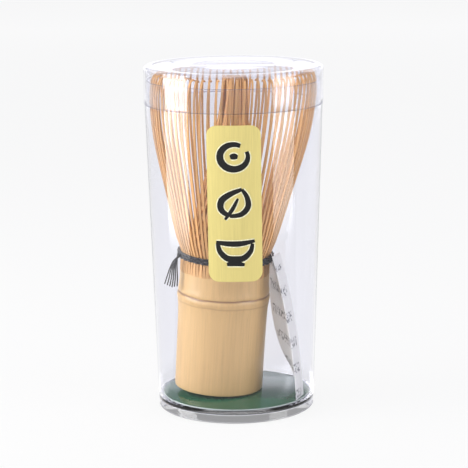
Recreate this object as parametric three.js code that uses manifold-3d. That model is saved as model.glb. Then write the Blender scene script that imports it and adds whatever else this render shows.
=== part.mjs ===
// Bamboo tea whisk standing in its clear lidded case, with a disc under it, a
// label on the case and a folded leaflet beside the handle.
// Millimetres, +Z up. The origin is the centre of the case's foot, where it
// stands, and the label faces -Y. The case is sized around the whisk.
import * as THREE from 'three';
import { mergeVertices } from 'three/addons/utils/BufferGeometryUtils.js';
import Module from 'manifold-3d';

const wasm = await Module();
wasm.setup();

// ---------- Driving dimensions ----------

// Whisk, measured along its own axis from the foot of the handle
const WHISK_LENGTH = 116.5;
const HANDLE_RADIUS = 16.25;
const HANDLE_WALL = 4.2;
const HANDLE_TAPER = 0.4;        // the foot is this much smaller in radius
const HANDLE_CHAMFER = 0.5;      // at the foot's outer edge
const TAPER_SHARE = 0.7;         // the taper ends at this share of the node's height
const NODE_HEIGHT = 35.5;        // the growth ring of the culm
const NODE_BULGE = 0.55;
const NODE_GROOVE = 0.35;
// Skin below and above the node's groove: height from the node, share of the bulge
const SKIN_BELOW = [[-4.5, 0.3], [-1.8, 1], [-0.8, 1]];
const SKIN_ABOVE = [[0.7, 0.8], [3, 0.2], [6, 0.35]];
const DIAPHRAGM_THICKNESS = 3.0; // the wall across the culm at its node
const DIAPHRAGM_DISH = 0.4;      // hollowed this much in the middle, above and below
const FILLET_WIDTH = 1.5;        // where the diaphragm meets the culm's wall
const FILLET_HEIGHT = 1.2;
const SPLIT_HEIGHT = 44.6;       // where the culm starts to be split
const ROOT_HEIGHT = 2.4;         // unsplit ring that the tines grow from
const ROOT_OVERLAP = 0.6;        // share of the ring's height that a tine runs down into it
const ROOT_INSET = 0.1;          // tines at the thread stand this far inside the culm's skin
const BINDING_HEIGHT = 49.3;     // middle of the thread band
const CROWN_RADIUS = 29.4;       // outer tines at their widest
const CROWN_SHOULDER = 10.0;     // from the widest point up to the tips' plane
const SHOULDER_STRAIGHT = 0.3;   // share of it that stays at the full width
const CURL_REACH = 2.4;          // how far an outer tine's tip curls inwards
const CURL_START = { inwards: 0.8, below: 1.3 };   // from the full width and from the tip
const OUTER_TINES = 72;
const OUTER_TINE_WIDTH = 1.05;
const OUTER_TINE_THICKNESS = 0.55;
const INNER_TINES = 40;
const INNER_TINE_WIDTH = 0.85;
const INNER_TINE_THICKNESS = 0.5;
const INNER_BUNDLE_RADIUS = 5.2; // the inner tines where they gather
const INNER_TIP_DROP = 1.5;      // their tips lie this far under the outer ones
const TIP_SHARE = 0.7;           // a tine's width and thickness at its tip
// Outer tines between the thread and their widest: share of the height, of the spread
const OUTER_FLARE = [[0.11, 0.14], [0.43, 0.49], [0.74, 0.87]];
// Inner tines from root to tip: share of the height, of the way to the bundle
const INNER_GATHER = [[0, 0], [0.12, 0.05], [0.45, 0.5], [0.8, 0.9], [1, 1]];

// Thread
const THREAD_DIAMETER = 0.8;
const THREAD_TURNS = 3;
const THREAD_ARC = 75;           // degrees of a turn's round side that show, up and down
const TAIL_STRANDS = 5;
const TAIL_STRAND_DIAMETER = 0.45;
const TAIL_DROP = 12.0;
const TAIL_UNEVENNESS = 1.2;     // the middle strand hangs half this much lower
const KNOT_RADIUS = 0.7;
const TAIL_HEADING = THREE.MathUtils.degToRad(200);   // round the whisk's axis
const TAIL_SPLAY = 3.0;          // sideways, from the first strand to the last
const NEAREST_STRAND = 0.15;     // share of the loosest strand's way out
// A strand from the knot to its end: share of its way out, sideways and down
const STRAND_WAY = [[0, 0, 0], [0.4, 0.3, 0.3], [0.75, 0.7, 0.7], [1, 1, 1]];

// How the whisk stands in the case: its axis at the foot and at the crown
const FOOT_OFFSET = new THREE.Vector2(-6.6, 1.5);
const CROWN_OFFSET = new THREE.Vector2(0.85, 0.0);

// Case
const TUBE_WALL = 0.8;
const WALL_DRAFT = 0.0317;       // growth in radius for each mm of height
const NECK_WALL = 0.7;
const NECK_HEIGHT = 8.4;         // the drawn-in top that the lid slides over
const FOOT_RECESS = 3.2;         // hollow under the floor
const FOOT_RING_WIDTH = 1.9;
const FLOOR_THICKNESS = 1.2;
const CORNER_RADIUS = 0.8;
const LID_WALL = 0.7;
const LID_PLATE = 1.1;
const LID_CORNER = 1.2;
const LID_PROUD = 0.25;          // the lid stands this far outside the tube
const LID_RIM_WIDTH = 2.6;       // raised rim round the lid's top
const LID_RIM_HEIGHT = 0.3;
const LID_RING_RADIUS = 15.2;    // fine raised ring on the lid's top
const LID_RING_WIDTH = 0.9;
const LID_RING_HEIGHT = 0.25;
const RIM_DROP = 3.7;            // from the lid's underside down to the tube's rim

// Disc, label and leaflet
const DISC_THICKNESS = 0.5;
const LABEL_WIDTH = 19.2;
const LABEL_HEIGHT = 55.9;
const LABEL_CORNER = 3.5;
const LABEL_DROP = 3.9;          // from the lid's edge down to the label
const LABEL_THICKNESS = 0.2;
const LEAFLET_HEIGHT = 51.3;
const LEAFLET_THICKNESS = 0.3;
const LEAFLET_LEFT_PAGE = 20.0;
const LEAFLET_RIGHT_PAGE = 10.0;
const LEAFLET_OPENING = THREE.MathUtils.degToRad(18);
const LEAFLET_HEADING = THREE.MathUtils.degToRad(83.2);   // plan direction of the left page
const LEAFLET_FOOT_ANGLE = THREE.MathUtils.degToRad(-37.4);
const LEAFLET_LEAD = 8.5;        // how far the fold stands forward of the binding
const PAGE_CURVE = 1.5;          // a higher power keeps the page straighter by its fold

// Clearances
const SEAT_GAP = 0.3;            // between pieces that meet inside the turned whisk
const LID_FIT = 0.2;             // lid skirt round the tube's neck
const CROWN_CLEARANCE = 0.15;    // crown to the inside of the neck
const HEAD_CLEARANCE = 0.5;      // tine tips to the lid's underside
const DISC_CLEARANCE = 0.9;      // disc edge to the tube's wall
const LABEL_GAP = 0.15;
const LEAFLET_CLEARANCE = 0.35;
const LEAFLET_STANDOFF = 4.6;    // the bowed page's back edge to the handle, at mid height
const TAIL_STANDOFF = 3.0;       // the loosest strand to the tube's wall

// Facets
const CASE_SEGMENTS = 48;
const HANDLE_SEGMENTS = 36;
const KNOT_SEGMENTS = 10;
const KNOT_RINGS = 8;
const ARC_STEPS = 3;
const LABEL_CORNER_STEPS = 5;
const LEAFLET_STEPS = 6;
const STRAND_STEPS = 6;
const STRAND_SIDES = 3;          // for each half turn of a strand's section
const MERGE_DISTANCE = 1e-4;

// Finishes
const FINISHES = {
  case_tube: { color: 0xeeeefa, roughness: 0.05, opacity: 0.2, transparent: true },
  case_lid: { color: 0xf2f2fb, roughness: 0.05, opacity: 0.2, transparent: true },
  base_disc: { color: 0x4a6c5a, roughness: 0.25 },
  front_label: { color: 0xdccb6e, roughness: 0.35, metalness: 0.3 },
  leaflet: { color: 0xf4f2ee, roughness: 0.8 },
  handle: { color: 0xd9b27c, roughness: 0.55 },
  outer_tines: { color: 0xdcae78, roughness: 0.6 },
  inner_tines: { color: 0xc48d52, roughness: 0.65 },
  binding_thread: { color: 0x1e1e22, roughness: 0.7 },
  thread_tail: { color: 0x26262b, roughness: 0.75 },
};

// ---------- Worked-out places ----------

const leanShift = CROWN_OFFSET.clone().sub(FOOT_OFFSET);
const leanAngle = Math.asin(leanShift.length() / WHISK_LENGTH);
const leanHeading = leanShift.angle();
const footRadius = HANDLE_RADIUS - HANDLE_TAPER;

const floorTop = FOOT_RECESS + FLOOR_THICKNESS;
const discTop = floorTop + DISC_THICKNESS;
const whiskFoot = discTop + SEAT_GAP + footRadius * Math.sin(leanAngle);
const tipPlane = whiskFoot + WHISK_LENGTH * Math.cos(leanAngle);

const lidUnderside = tipPlane + HEAD_CLEARANCE;
const lidTop = lidUnderside + LID_PLATE + LID_RIM_HEIGHT;
const tubeRim = lidUnderside - RIM_DROP;
const shoulder = tubeRim - NECK_HEIGHT;

const neckInside = CROWN_RADIUS + CROWN_OFFSET.length() + CROWN_CLEARANCE;
const neckOutside = neckInside + NECK_WALL;
const lidInside = neckOutside + LID_FIT;
const lidOutside = lidInside + LID_WALL;
const shoulderRadius = lidOutside - LID_PROUD;

/** Outside radius of the tube's drafted wall at a height. */
function wallOutside(z) {
  return shoulderRadius - WALL_DRAFT * (shoulder - z);
}

/** Inside radius of the tube's drafted wall at a height. */
function wallInside(z) {
  return wallOutside(z) - TUBE_WALL;
}

/** The whisk's axis in plan, at a height in the case. */
function whiskAxisAt(z) {
  const along = (z - whiskFoot) / (tipPlane - whiskFoot);
  return FOOT_OFFSET.clone().add(leanShift.clone().multiplyScalar(along));
}

// ---------- Geometry helpers ----------

/** Merge shared vertices and drop triangles that have no area. */
function closed(geometry) {
  const bare = geometry.clone();
  bare.deleteAttribute('normal');
  bare.deleteAttribute('uv');
  const merged = mergeVertices(bare, MERGE_DISTANCE);
  const index = merged.getIndex().array;
  const kept = [];
  for (let i = 0; i < index.length; i += 3) {
    const [a, b, c] = [index[i], index[i + 1], index[i + 2]];
    if (a !== b && b !== c && c !== a) kept.push(a, b, c);
  }
  merged.setIndex(kept);
  return merged;
}

function toSolid(geometry) {
  const mesh = closed(geometry);
  const vertProperties = new Float32Array(mesh.getAttribute('position').array);
  const triVerts = new Uint32Array(mesh.getIndex().array);
  return new wasm.Manifold(new wasm.Mesh({ numProp: 3, vertProperties, triVerts }));
}

function toGeometry(solid) {
  const mesh = solid.getMesh();
  const geometry = new THREE.BufferGeometry();
  geometry.setAttribute('position', new THREE.BufferAttribute(mesh.vertProperties, 3));
  geometry.setIndex(new THREE.BufferAttribute(mesh.triVerts, 1));
  return geometry;
}

/** Turn a profile of [radius, height] points about the Z axis. */
function revolve(profile, segments) {
  const points = profile.map(([radius, height]) => new THREE.Vector2(radius, height));
  return closed(new THREE.LatheGeometry(points, segments).rotateX(Math.PI / 2));
}

/** Points of a rounded corner from one angle to another, in degrees. */
function arc(centreRadius, centreHeight, radius, from, to) {
  const points = [];
  for (let i = 0; i <= ARC_STEPS; i++) {
    const angle = THREE.MathUtils.degToRad(THREE.MathUtils.lerp(from, to, i / ARC_STEPS));
    points.push([
      centreRadius + radius * Math.cos(angle),
      centreHeight + radius * Math.sin(angle),
    ]);
  }
  return points;
}

function roundedRectangle(width, height, corner) {
  const [x, y] = [width / 2, height / 2];
  const shape = new THREE.Shape();
  shape.moveTo(-x + corner, -y);
  shape.absarc(x - corner, -y + corner, corner, -Math.PI / 2, 0);
  shape.absarc(x - corner, y - corner, corner, 0, Math.PI / 2);
  shape.absarc(-x + corner, y - corner, corner, Math.PI / 2, Math.PI);
  shape.absarc(-x + corner, -y + corner, corner, Math.PI, 1.5 * Math.PI);
  return shape;
}

/** A mesh of this name, with the finish that goes with it. */
function named(name, geometry) {
  const material = new THREE.MeshStandardMaterial(FINISHES[name]);
  const mesh = new THREE.Mesh(geometry, material);
  mesh.name = name;
  return mesh;
}

// ---------- Case ----------

function caseTube() {
  const footOutside = wallOutside(0);
  const footInside = footOutside - FOOT_RING_WIDTH;
  const stepTop = shoulder - NECK_WALL;
  const stepFoot = stepTop - NECK_WALL;
  const profile = [
    [0, FOOT_RECESS],
    [footInside, FOOT_RECESS],
    [footInside, 0],
    ...arc(footOutside - CORNER_RADIUS, CORNER_RADIUS, CORNER_RADIUS, -90, 0),
    [shoulderRadius, shoulder],
    [neckOutside, shoulder],
    [neckOutside, tubeRim],
    [neckInside, tubeRim],
    [neckInside, stepTop],
    [wallInside(stepFoot), stepFoot],
    ...arc(wallInside(floorTop) - CORNER_RADIUS, floorTop + CORNER_RADIUS, CORNER_RADIUS, 0, -90),
    [0, floorTop],
  ];
  return named('case_tube', revolve(profile, CASE_SEGMENTS));
}

function caseLid() {
  const plateTop = lidUnderside + LID_PLATE;
  const rimInside = lidOutside - LID_RIM_WIDTH;
  const ringIn = LID_RING_RADIUS - LID_RING_WIDTH / 2;
  const ringOut = LID_RING_RADIUS + LID_RING_WIDTH / 2;
  const profile = [
    [0, lidUnderside],
    ...arc(lidInside - CORNER_RADIUS, lidUnderside - CORNER_RADIUS, CORNER_RADIUS, 90, 0),
    [lidInside, shoulder],
    [lidOutside, shoulder],
    ...arc(lidOutside - LID_CORNER, lidTop - LID_CORNER, LID_CORNER, 0, 90),
    [rimInside, lidTop],
    [rimInside - LID_RIM_HEIGHT, plateTop],
    [ringOut, plateTop],
    [LID_RING_RADIUS, plateTop + LID_RING_HEIGHT],
    [ringIn, plateTop],
    [0, plateTop],
  ];
  return named('case_lid', revolve(profile, CASE_SEGMENTS));
}

function baseDisc() {
  const radius = wallInside(floorTop) - DISC_CLEARANCE;
  const profile = [[0, floorTop], [radius, floorTop], [radius, discTop], [0, discTop]];
  return named('base_disc', revolve(profile, CASE_SEGMENTS));
}

/** A shell that follows the drafted wall, trimmed to the label's rounded outline. */
function frontLabel() {
  const top = shoulder - LABEL_DROP;
  const bottom = top - LABEL_HEIGHT;
  const [shellTop, shellFoot] = [top + LABEL_CORNER, bottom - LABEL_CORNER];
  const [under, over] = [LABEL_GAP, LABEL_GAP + LABEL_THICKNESS];
  const shell = toSolid(revolve([
    [wallOutside(shellFoot) + under, shellFoot],
    [wallOutside(shellFoot) + over, shellFoot],
    [wallOutside(shellTop) + over, shellTop],
    [wallOutside(shellTop) + under, shellTop],
    [wallOutside(shellFoot) + under, shellFoot],
  ], CASE_SEGMENTS));
  const cutter = new THREE.ExtrudeGeometry(
    roundedRectangle(LABEL_WIDTH, LABEL_HEIGHT, LABEL_CORNER),
    { depth: 2 * shoulderRadius, bevelEnabled: false, curveSegments: LABEL_CORNER_STEPS },
  );
  cutter.rotateX(Math.PI / 2).translate(0, 0, (top + bottom) / 2);
  return named('front_label', toGeometry(shell.intersect(toSolid(cutter))));
}

// ---------- Leaflet ----------

/** Outline, in plan, of two pages that meet at a fold at the origin. */
function foldedPages() {
  const half = LEAFLET_THICKNESS / 2;
  const left = new THREE.Vector2(Math.cos(LEAFLET_HEADING), Math.sin(LEAFLET_HEADING));
  const rightHeading = LEAFLET_HEADING - LEAFLET_OPENING;
  const right = new THREE.Vector2(Math.cos(rightHeading), Math.sin(rightHeading));
  const bisector = left.clone().add(right).normalize();
  const mitre = half / Math.sin(LEAFLET_OPENING / 2);
  const side = (page, length, sign) => new THREE.Vector2(
    page.x * length - page.y * half * sign,
    page.y * length + page.x * half * sign,
  );
  return new THREE.Shape([
    bisector.clone().multiplyScalar(-LEAFLET_THICKNESS),
    side(right, 0, -1),
    side(right, LEAFLET_RIGHT_PAGE, -1),
    side(right, LEAFLET_RIGHT_PAGE, 1),
    bisector.clone().multiplyScalar(mitre),
    side(left, LEAFLET_LEFT_PAGE, -1),
    side(left, LEAFLET_LEFT_PAGE, 1),
    side(left, 0, 1),
  ]);
}

/**
 * The fold's foot stands by the wall and its top leans past the thread band and
 * the tines. The left page bows towards the handle at mid height.
 */
function leaflet() {
  const foot = discTop + SEAT_GAP;
  const footReach = wallInside(foot) - LEAFLET_CLEARANCE - LEAFLET_THICKNESS / 2;
  const footFold = new THREE.Vector2(Math.cos(LEAFLET_FOOT_ANGLE), Math.sin(LEAFLET_FOOT_ANGLE));
  footFold.multiplyScalar(footReach);
  const page = new THREE.Vector2(Math.cos(LEAFLET_HEADING), Math.sin(LEAFLET_HEADING));
  const away = new THREE.Vector2(page.y, -page.x);
  const top = foot + LEAFLET_HEIGHT;
  const widest = Math.max(bandOutside, crownOutside((top - whiskFoot) / Math.cos(leanAngle)));
  const reach = widest + LEAFLET_CLEARANCE + LEAFLET_THICKNESS / 2;
  const topFold = whiskAxisAt(top);
  topFold.addScaledVector(away, reach).addScaledVector(page, -LEAFLET_LEAD);

  const middle = footFold.clone().add(topFold).multiplyScalar(0.5);
  const backEdge = middle.addScaledVector(page, LEAFLET_LEFT_PAGE);
  const fromAxis = backEdge.sub(whiskAxisAt(foot + LEAFLET_HEIGHT / 2));
  const facing = HANDLE_RADIUS + LEAFLET_STANDOFF;
  const deepest = fromAxis.x - Math.sqrt(Math.max(0, facing ** 2 - fromAxis.y ** 2));

  const options = { depth: LEAFLET_HEIGHT, steps: LEAFLET_STEPS, bevelEnabled: false };
  const geometry = closed(new THREE.ExtrudeGeometry(foldedPages(), options));
  const position = geometry.getAttribute('position');
  for (let i = 0; i < position.count; i++) {
    const along = position.getZ(i) / LEAFLET_HEIGHT;
    const back = Math.max(0, position.getY(i) / LEAFLET_LEFT_PAGE);
    const bow = deepest * Math.sin(Math.PI * along) * back ** PAGE_CURVE;
    position.setX(i, position.getX(i) + THREE.MathUtils.lerp(footFold.x, topFold.x, along) - bow);
    position.setY(i, position.getY(i) + THREE.MathUtils.lerp(footFold.y, topFold.y, along));
  }
  const mesh = named('leaflet', geometry);
  mesh.position.z = foot;
  return mesh;
}

// ---------- Whisk ----------

const rootTop = SPLIT_HEIGHT + ROOT_HEIGHT;
const tineStart = rootTop - ROOT_OVERLAP * ROOT_HEIGHT;
const bandHalf = THREAD_TURNS * THREAD_DIAMETER / 2;
const bandInside = HANDLE_RADIUS + SEAT_GAP;
const bandOutside = bandInside + THREAD_DIAMETER;
const outerRootInside = HANDLE_RADIUS - 2 * OUTER_TINE_THICKNESS;
const innerRootOutside = outerRootInside - SEAT_GAP;
const innerRootInside = HANDLE_RADIUS - HANDLE_WALL + SEAT_GAP;

/** One internode of the culm below its node and one above, hollow on both sides. */
function handle() {
  const top = SPLIT_HEIGHT - SEAT_GAP;
  const inside = HANDLE_RADIUS - HANDLE_WALL;
  const filletInside = inside - FILLET_WIDTH;
  const diaphragmFoot = NODE_HEIGHT - DIAPHRAGM_THICKNESS;
  const skin = ([height, share]) => [HANDLE_RADIUS + NODE_BULGE * share, NODE_HEIGHT + height];
  const profile = [
    [inside, 0],
    [footRadius - HANDLE_CHAMFER, 0],
    [footRadius, HANDLE_CHAMFER],
    [HANDLE_RADIUS, NODE_HEIGHT * TAPER_SHARE],
    ...SKIN_BELOW.map(skin),
    [HANDLE_RADIUS + NODE_BULGE - NODE_GROOVE, NODE_HEIGHT],
    ...SKIN_ABOVE.map(skin),
    [HANDLE_RADIUS, top],
    [inside, top],
    [inside, NODE_HEIGHT + FILLET_HEIGHT],
    [filletInside, NODE_HEIGHT],
    [0, NODE_HEIGHT - DIAPHRAGM_DISH],
    [0, diaphragmFoot],
    [filletInside, diaphragmFoot - DIAPHRAGM_DISH],
    [inside, diaphragmFoot - DIAPHRAGM_DISH - FILLET_HEIGHT],
    [inside, 0],
  ];
  return named('handle', revolve(profile, HANDLE_SEGMENTS));
}

/**
 * One tine: a flat strip through [radius, height] stations in the plane of the
 * axis, thinner and narrower towards its tip, turned to its place round the axis.
 */
function tine(stations, heading, width, thickness, tipShare) {
  const curve = new THREE.SplineCurve(stations.map(([r, h]) => new THREE.Vector2(r, h)));
  const strip = new THREE.BoxGeometry(width, thickness, 1, 1, 1, stations.length - 1);
  strip.translate(0, 0, 0.5);
  const position = strip.getAttribute('position');
  for (let i = 0; i < position.count; i++) {
    const along = position.getZ(i);
    const centre = curve.getPoint(along);
    const direction = curve.getTangent(along);
    const taper = THREE.MathUtils.lerp(1, tipShare, along);
    const across = -position.getX(i) * taper;
    const outward = position.getY(i) * taper;
    position.setXYZ(
      i,
      centre.x + outward * direction.y,
      across,
      centre.y - outward * direction.x,
    );
  }
  return strip.rotateZ(heading);
}

/** Stations of an outer tine from its root to its tip, which curls inwards. */
function outerStations(heading) {
  const rootCentre = HANDLE_RADIUS - ROOT_INSET - OUTER_TINE_THICKNESS / 2;
  const edge = CROWN_RADIUS - OUTER_TINE_THICKNESS / 2;
  const tip = tipHeight(heading, edge);
  const widest = tip - CROWN_SHOULDER;
  const flare = widest - BINDING_HEIGHT;
  return [
    [rootCentre, tineStart],
    [rootCentre, BINDING_HEIGHT + bandHalf],
    ...OUTER_FLARE.map(([rise, spread]) => [
      THREE.MathUtils.lerp(rootCentre, edge, spread),
      BINDING_HEIGHT + flare * rise,
    ]),
    [edge, widest + SHOULDER_STRAIGHT * CROWN_SHOULDER],
    [edge - CURL_START.inwards, tip - CURL_START.below],
    [edge - CURL_REACH, tip - OUTER_TINE_THICKNESS / 2],
  ];
}

/** Outside radius of the flaring tines at a height along the whisk's axis. */
function crownOutside(height) {
  const stations = outerStations(leanHeading);
  const next = stations.findIndex(([, stationHeight]) => stationHeight > height);
  if (next < 1) return HANDLE_RADIUS;
  const [[fromRadius, fromHeight], [toRadius, toHeight]] = [stations[next - 1], stations[next]];
  const along = (height - fromHeight) / (toHeight - fromHeight);
  return THREE.MathUtils.lerp(fromRadius, toRadius, along) + OUTER_TINE_THICKNESS;
}

/** Height along the axis at which a tine of this heading meets the tips' plane. */
function tipHeight(heading, radius) {
  return WHISK_LENGTH + radius * Math.tan(leanAngle) * Math.cos(heading - leanHeading);
}

/** Tines that flare from a ring of the culm to the crown. */
function outerTines() {
  let solid = toSolid(revolve([
    [outerRootInside, SPLIT_HEIGHT],
    [HANDLE_RADIUS, SPLIT_HEIGHT],
    [HANDLE_RADIUS, rootTop],
    [outerRootInside, rootTop],
    [outerRootInside, SPLIT_HEIGHT],
  ], HANDLE_SEGMENTS));
  for (let i = 0; i < OUTER_TINES; i++) {
    const heading = 2 * Math.PI * (i + 0.5) / OUTER_TINES;
    const stations = outerStations(heading);
    const strip = tine(stations, heading, OUTER_TINE_WIDTH, OUTER_TINE_THICKNESS, TIP_SHARE);
    solid = solid.add(toSolid(strip));
  }
  return named('outer_tines', toGeometry(solid));
}

/** Tines that gather from a ring inside the outer one into a loose bundle. */
function innerTines() {
  const rootCentre = (innerRootInside + innerRootOutside) / 2;
  let solid = toSolid(revolve([
    [innerRootInside, SPLIT_HEIGHT],
    [innerRootOutside, SPLIT_HEIGHT],
    [innerRootOutside, rootTop],
    [innerRootInside, rootTop],
    [innerRootInside, SPLIT_HEIGHT],
  ], HANDLE_SEGMENTS));
  for (let i = 0; i < INNER_TINES; i++) {
    const heading = 2 * Math.PI * i / INNER_TINES;
    const tip = tipHeight(heading, INNER_BUNDLE_RADIUS) - INNER_TIP_DROP;
    const stations = INNER_GATHER.map(([rise, gather]) => [
      THREE.MathUtils.lerp(rootCentre, INNER_BUNDLE_RADIUS, gather),
      THREE.MathUtils.lerp(tineStart, tip, rise),
    ]);
    const strip = tine(stations, heading, INNER_TINE_WIDTH, INNER_TINE_THICKNESS, TIP_SHARE);
    solid = solid.add(toSolid(strip));
  }
  return named('inner_tines', toGeometry(solid));
}

/** Turns of thread that lie on each other as one ribbed band. */
function bindingThread() {
  const radius = THREAD_DIAMETER / 2;
  const profile = [[bandInside, BINDING_HEIGHT - bandHalf]];
  for (let i = 0; i < THREAD_TURNS; i++) {
    const middle = BINDING_HEIGHT - bandHalf + (i + 0.5) * THREAD_DIAMETER;
    profile.push(...arc(bandOutside - radius, middle, radius, -THREAD_ARC, THREAD_ARC));
  }
  profile.push([bandInside, BINDING_HEIGHT + bandHalf], [bandInside, BINDING_HEIGHT - bandHalf]);
  return named('binding_thread', revolve(profile, HANDLE_SEGMENTS));
}

/** The thread's end: a knot at the band with loose strands that hang from it. */
function threadTail() {
  const knotReach = bandOutside + SEAT_GAP + KNOT_RADIUS;
  const lowest = whiskFoot + (BINDING_HEIGHT - TAIL_DROP) * Math.cos(leanAngle);
  const heading = new THREE.Vector2(Math.cos(TAIL_HEADING), Math.sin(TAIL_HEADING));
  const wallReach = wallInside(lowest) - whiskAxisAt(lowest).dot(heading);
  const splayed = wallReach - TAIL_STANDOFF - knotReach;
  const knot = new THREE.SphereGeometry(KNOT_RADIUS, KNOT_SEGMENTS, KNOT_RINGS);
  knot.translate(knotReach, 0, BINDING_HEIGHT);
  let solid = toSolid(knot);
  const section = new THREE.Shape();
  section.absarc(0, 0, TAIL_STRAND_DIAMETER / 2, 0, 2 * Math.PI);
  for (let i = 0; i < TAIL_STRANDS; i++) {
    const spread = i / (TAIL_STRANDS - 1);
    const out = splayed * THREE.MathUtils.lerp(NEAREST_STRAND, 1, spread);
    const side = TAIL_SPLAY * (0.5 - spread);
    const drop = TAIL_DROP - TAIL_UNEVENNESS * Math.abs(spread - 0.5);
    const path = new THREE.CatmullRomCurve3(STRAND_WAY.map(([outwards, sideways, down]) => (
      new THREE.Vector3(
        knotReach + outwards * out,
        sideways * side,
        BINDING_HEIGHT - down * drop,
      )
    )));
    const strand = new THREE.ExtrudeGeometry(section, {
      steps: STRAND_STEPS,
      curveSegments: STRAND_SIDES,
      bevelEnabled: false,
      extrudePath: path,
    });
    solid = solid.add(toSolid(strand));
  }
  return named('thread_tail', toGeometry(solid).rotateZ(TAIL_HEADING));
}

// ---------- Assembly ----------

const whisk = new THREE.Group();
whisk.position.set(FOOT_OFFSET.x, FOOT_OFFSET.y, whiskFoot);
const upright = new THREE.Vector3(0, 0, 1);
const leaning = new THREE.Vector3(leanShift.x, leanShift.y, tipPlane - whiskFoot).normalize();
whisk.quaternion.setFromUnitVectors(upright, leaning);
whisk.add(handle(), outerTines(), innerTines(), bindingThread(), threadTail());

const model = new THREE.Group();
model.add(caseTube(), caseLid(), baseDisc(), frontLabel(), leaflet(), whisk);

export default model;
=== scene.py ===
"""Looks of a bamboo tea whisk standing in its clear lidded case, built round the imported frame."""

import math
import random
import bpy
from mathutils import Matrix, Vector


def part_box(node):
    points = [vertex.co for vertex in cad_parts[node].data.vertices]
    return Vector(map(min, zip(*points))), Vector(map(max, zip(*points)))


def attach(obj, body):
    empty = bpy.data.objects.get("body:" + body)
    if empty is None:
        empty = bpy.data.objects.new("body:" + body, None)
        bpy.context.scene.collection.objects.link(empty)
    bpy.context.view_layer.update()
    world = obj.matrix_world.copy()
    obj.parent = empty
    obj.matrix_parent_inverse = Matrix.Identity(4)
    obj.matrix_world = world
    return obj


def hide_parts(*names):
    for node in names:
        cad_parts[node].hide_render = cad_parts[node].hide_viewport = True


bl_info = {
    "name": "Tea Whisk in a Clear Case",
    "version": (1, 0, 0),
    "blender": (4, 5, 0),
    "location": "3D View > Sidebar > Tea Whisk",
    "description": "Builds a bamboo tea whisk in its clear case, with disc, label and leaflet",
    "category": "Add Mesh",
}

import bmesh
import bpy
from bpy.props import FloatProperty, FloatVectorProperty, IntProperty, PointerProperty
from mathutils import Matrix, Vector

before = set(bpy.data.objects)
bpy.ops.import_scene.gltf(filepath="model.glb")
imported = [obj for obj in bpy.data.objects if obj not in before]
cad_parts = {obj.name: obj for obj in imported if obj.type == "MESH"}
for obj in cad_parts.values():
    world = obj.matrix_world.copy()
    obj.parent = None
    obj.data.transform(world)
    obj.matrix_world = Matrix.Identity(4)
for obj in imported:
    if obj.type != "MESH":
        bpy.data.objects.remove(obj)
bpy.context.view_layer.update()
MM = 0.001

# Distances in metres under which points count as one, and edges as nothing
NEAR = 1e-6
WELD = 1e-7
SLIVER = 1e-8


# ---------- What the frame says ----------


def corners(node):
    """Vertices of a frame node, as vectors."""
    return [vertex.co.copy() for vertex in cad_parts[node].data.vertices]


def reach(node, low, high):
    """Greatest distance of a node's vertices from the case's axis between two heights."""
    return max(p.xy.length for p in corners(node) if low - NEAR <= p.z <= high + NEAR)


def top_of(node):
    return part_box(node)[1][2]


def foot_of(node):
    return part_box(node)[0][2]


def middle(node):
    points = corners(node)
    return sum(points, Vector()) / len(points)


def whisk_axis():
    """Place and lean of the whisk: its own upright axis, starting under the handle."""
    culm, band = middle("handle"), middle("binding_thread")
    up = (band - culm).normalized()
    lowest = min((p - culm).dot(up) for p in corners("handle"))
    lean = Vector((0, 0, 1)).rotation_difference(up).to_matrix().to_4x4()
    return Matrix.Translation(culm + up * lowest) @ lean


WHISK_AXIS = whisk_axis()
TO_WHISK = WHISK_AXIS.inverted()


def whisk_span(node):
    """Lowest and highest point, least and greatest radius of a node about the whisk's axis."""
    points = [TO_WHISK @ p for p in corners(node)]
    heights = [p.z for p in points]
    radii = [p.xy.length for p in points]
    return min(heights), max(heights), min(radii), max(radii)


BAND_LOW, BAND_HIGH, BAND_INSIDE, BAND_OUTSIDE = whisk_span("binding_thread")


def length(name, description, default):
    return FloatProperty(
        name=name, description=description, default=default, min=0,
        unit="LENGTH", subtype="DISTANCE", precision=5,
    )


def colour(name, description, default):
    return FloatVectorProperty(
        name=name, description=description, default=default, min=0, max=1,
        size=3, subtype="COLOR",
    )


# ---------- Sizes and colours that a user would change ----------


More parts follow.
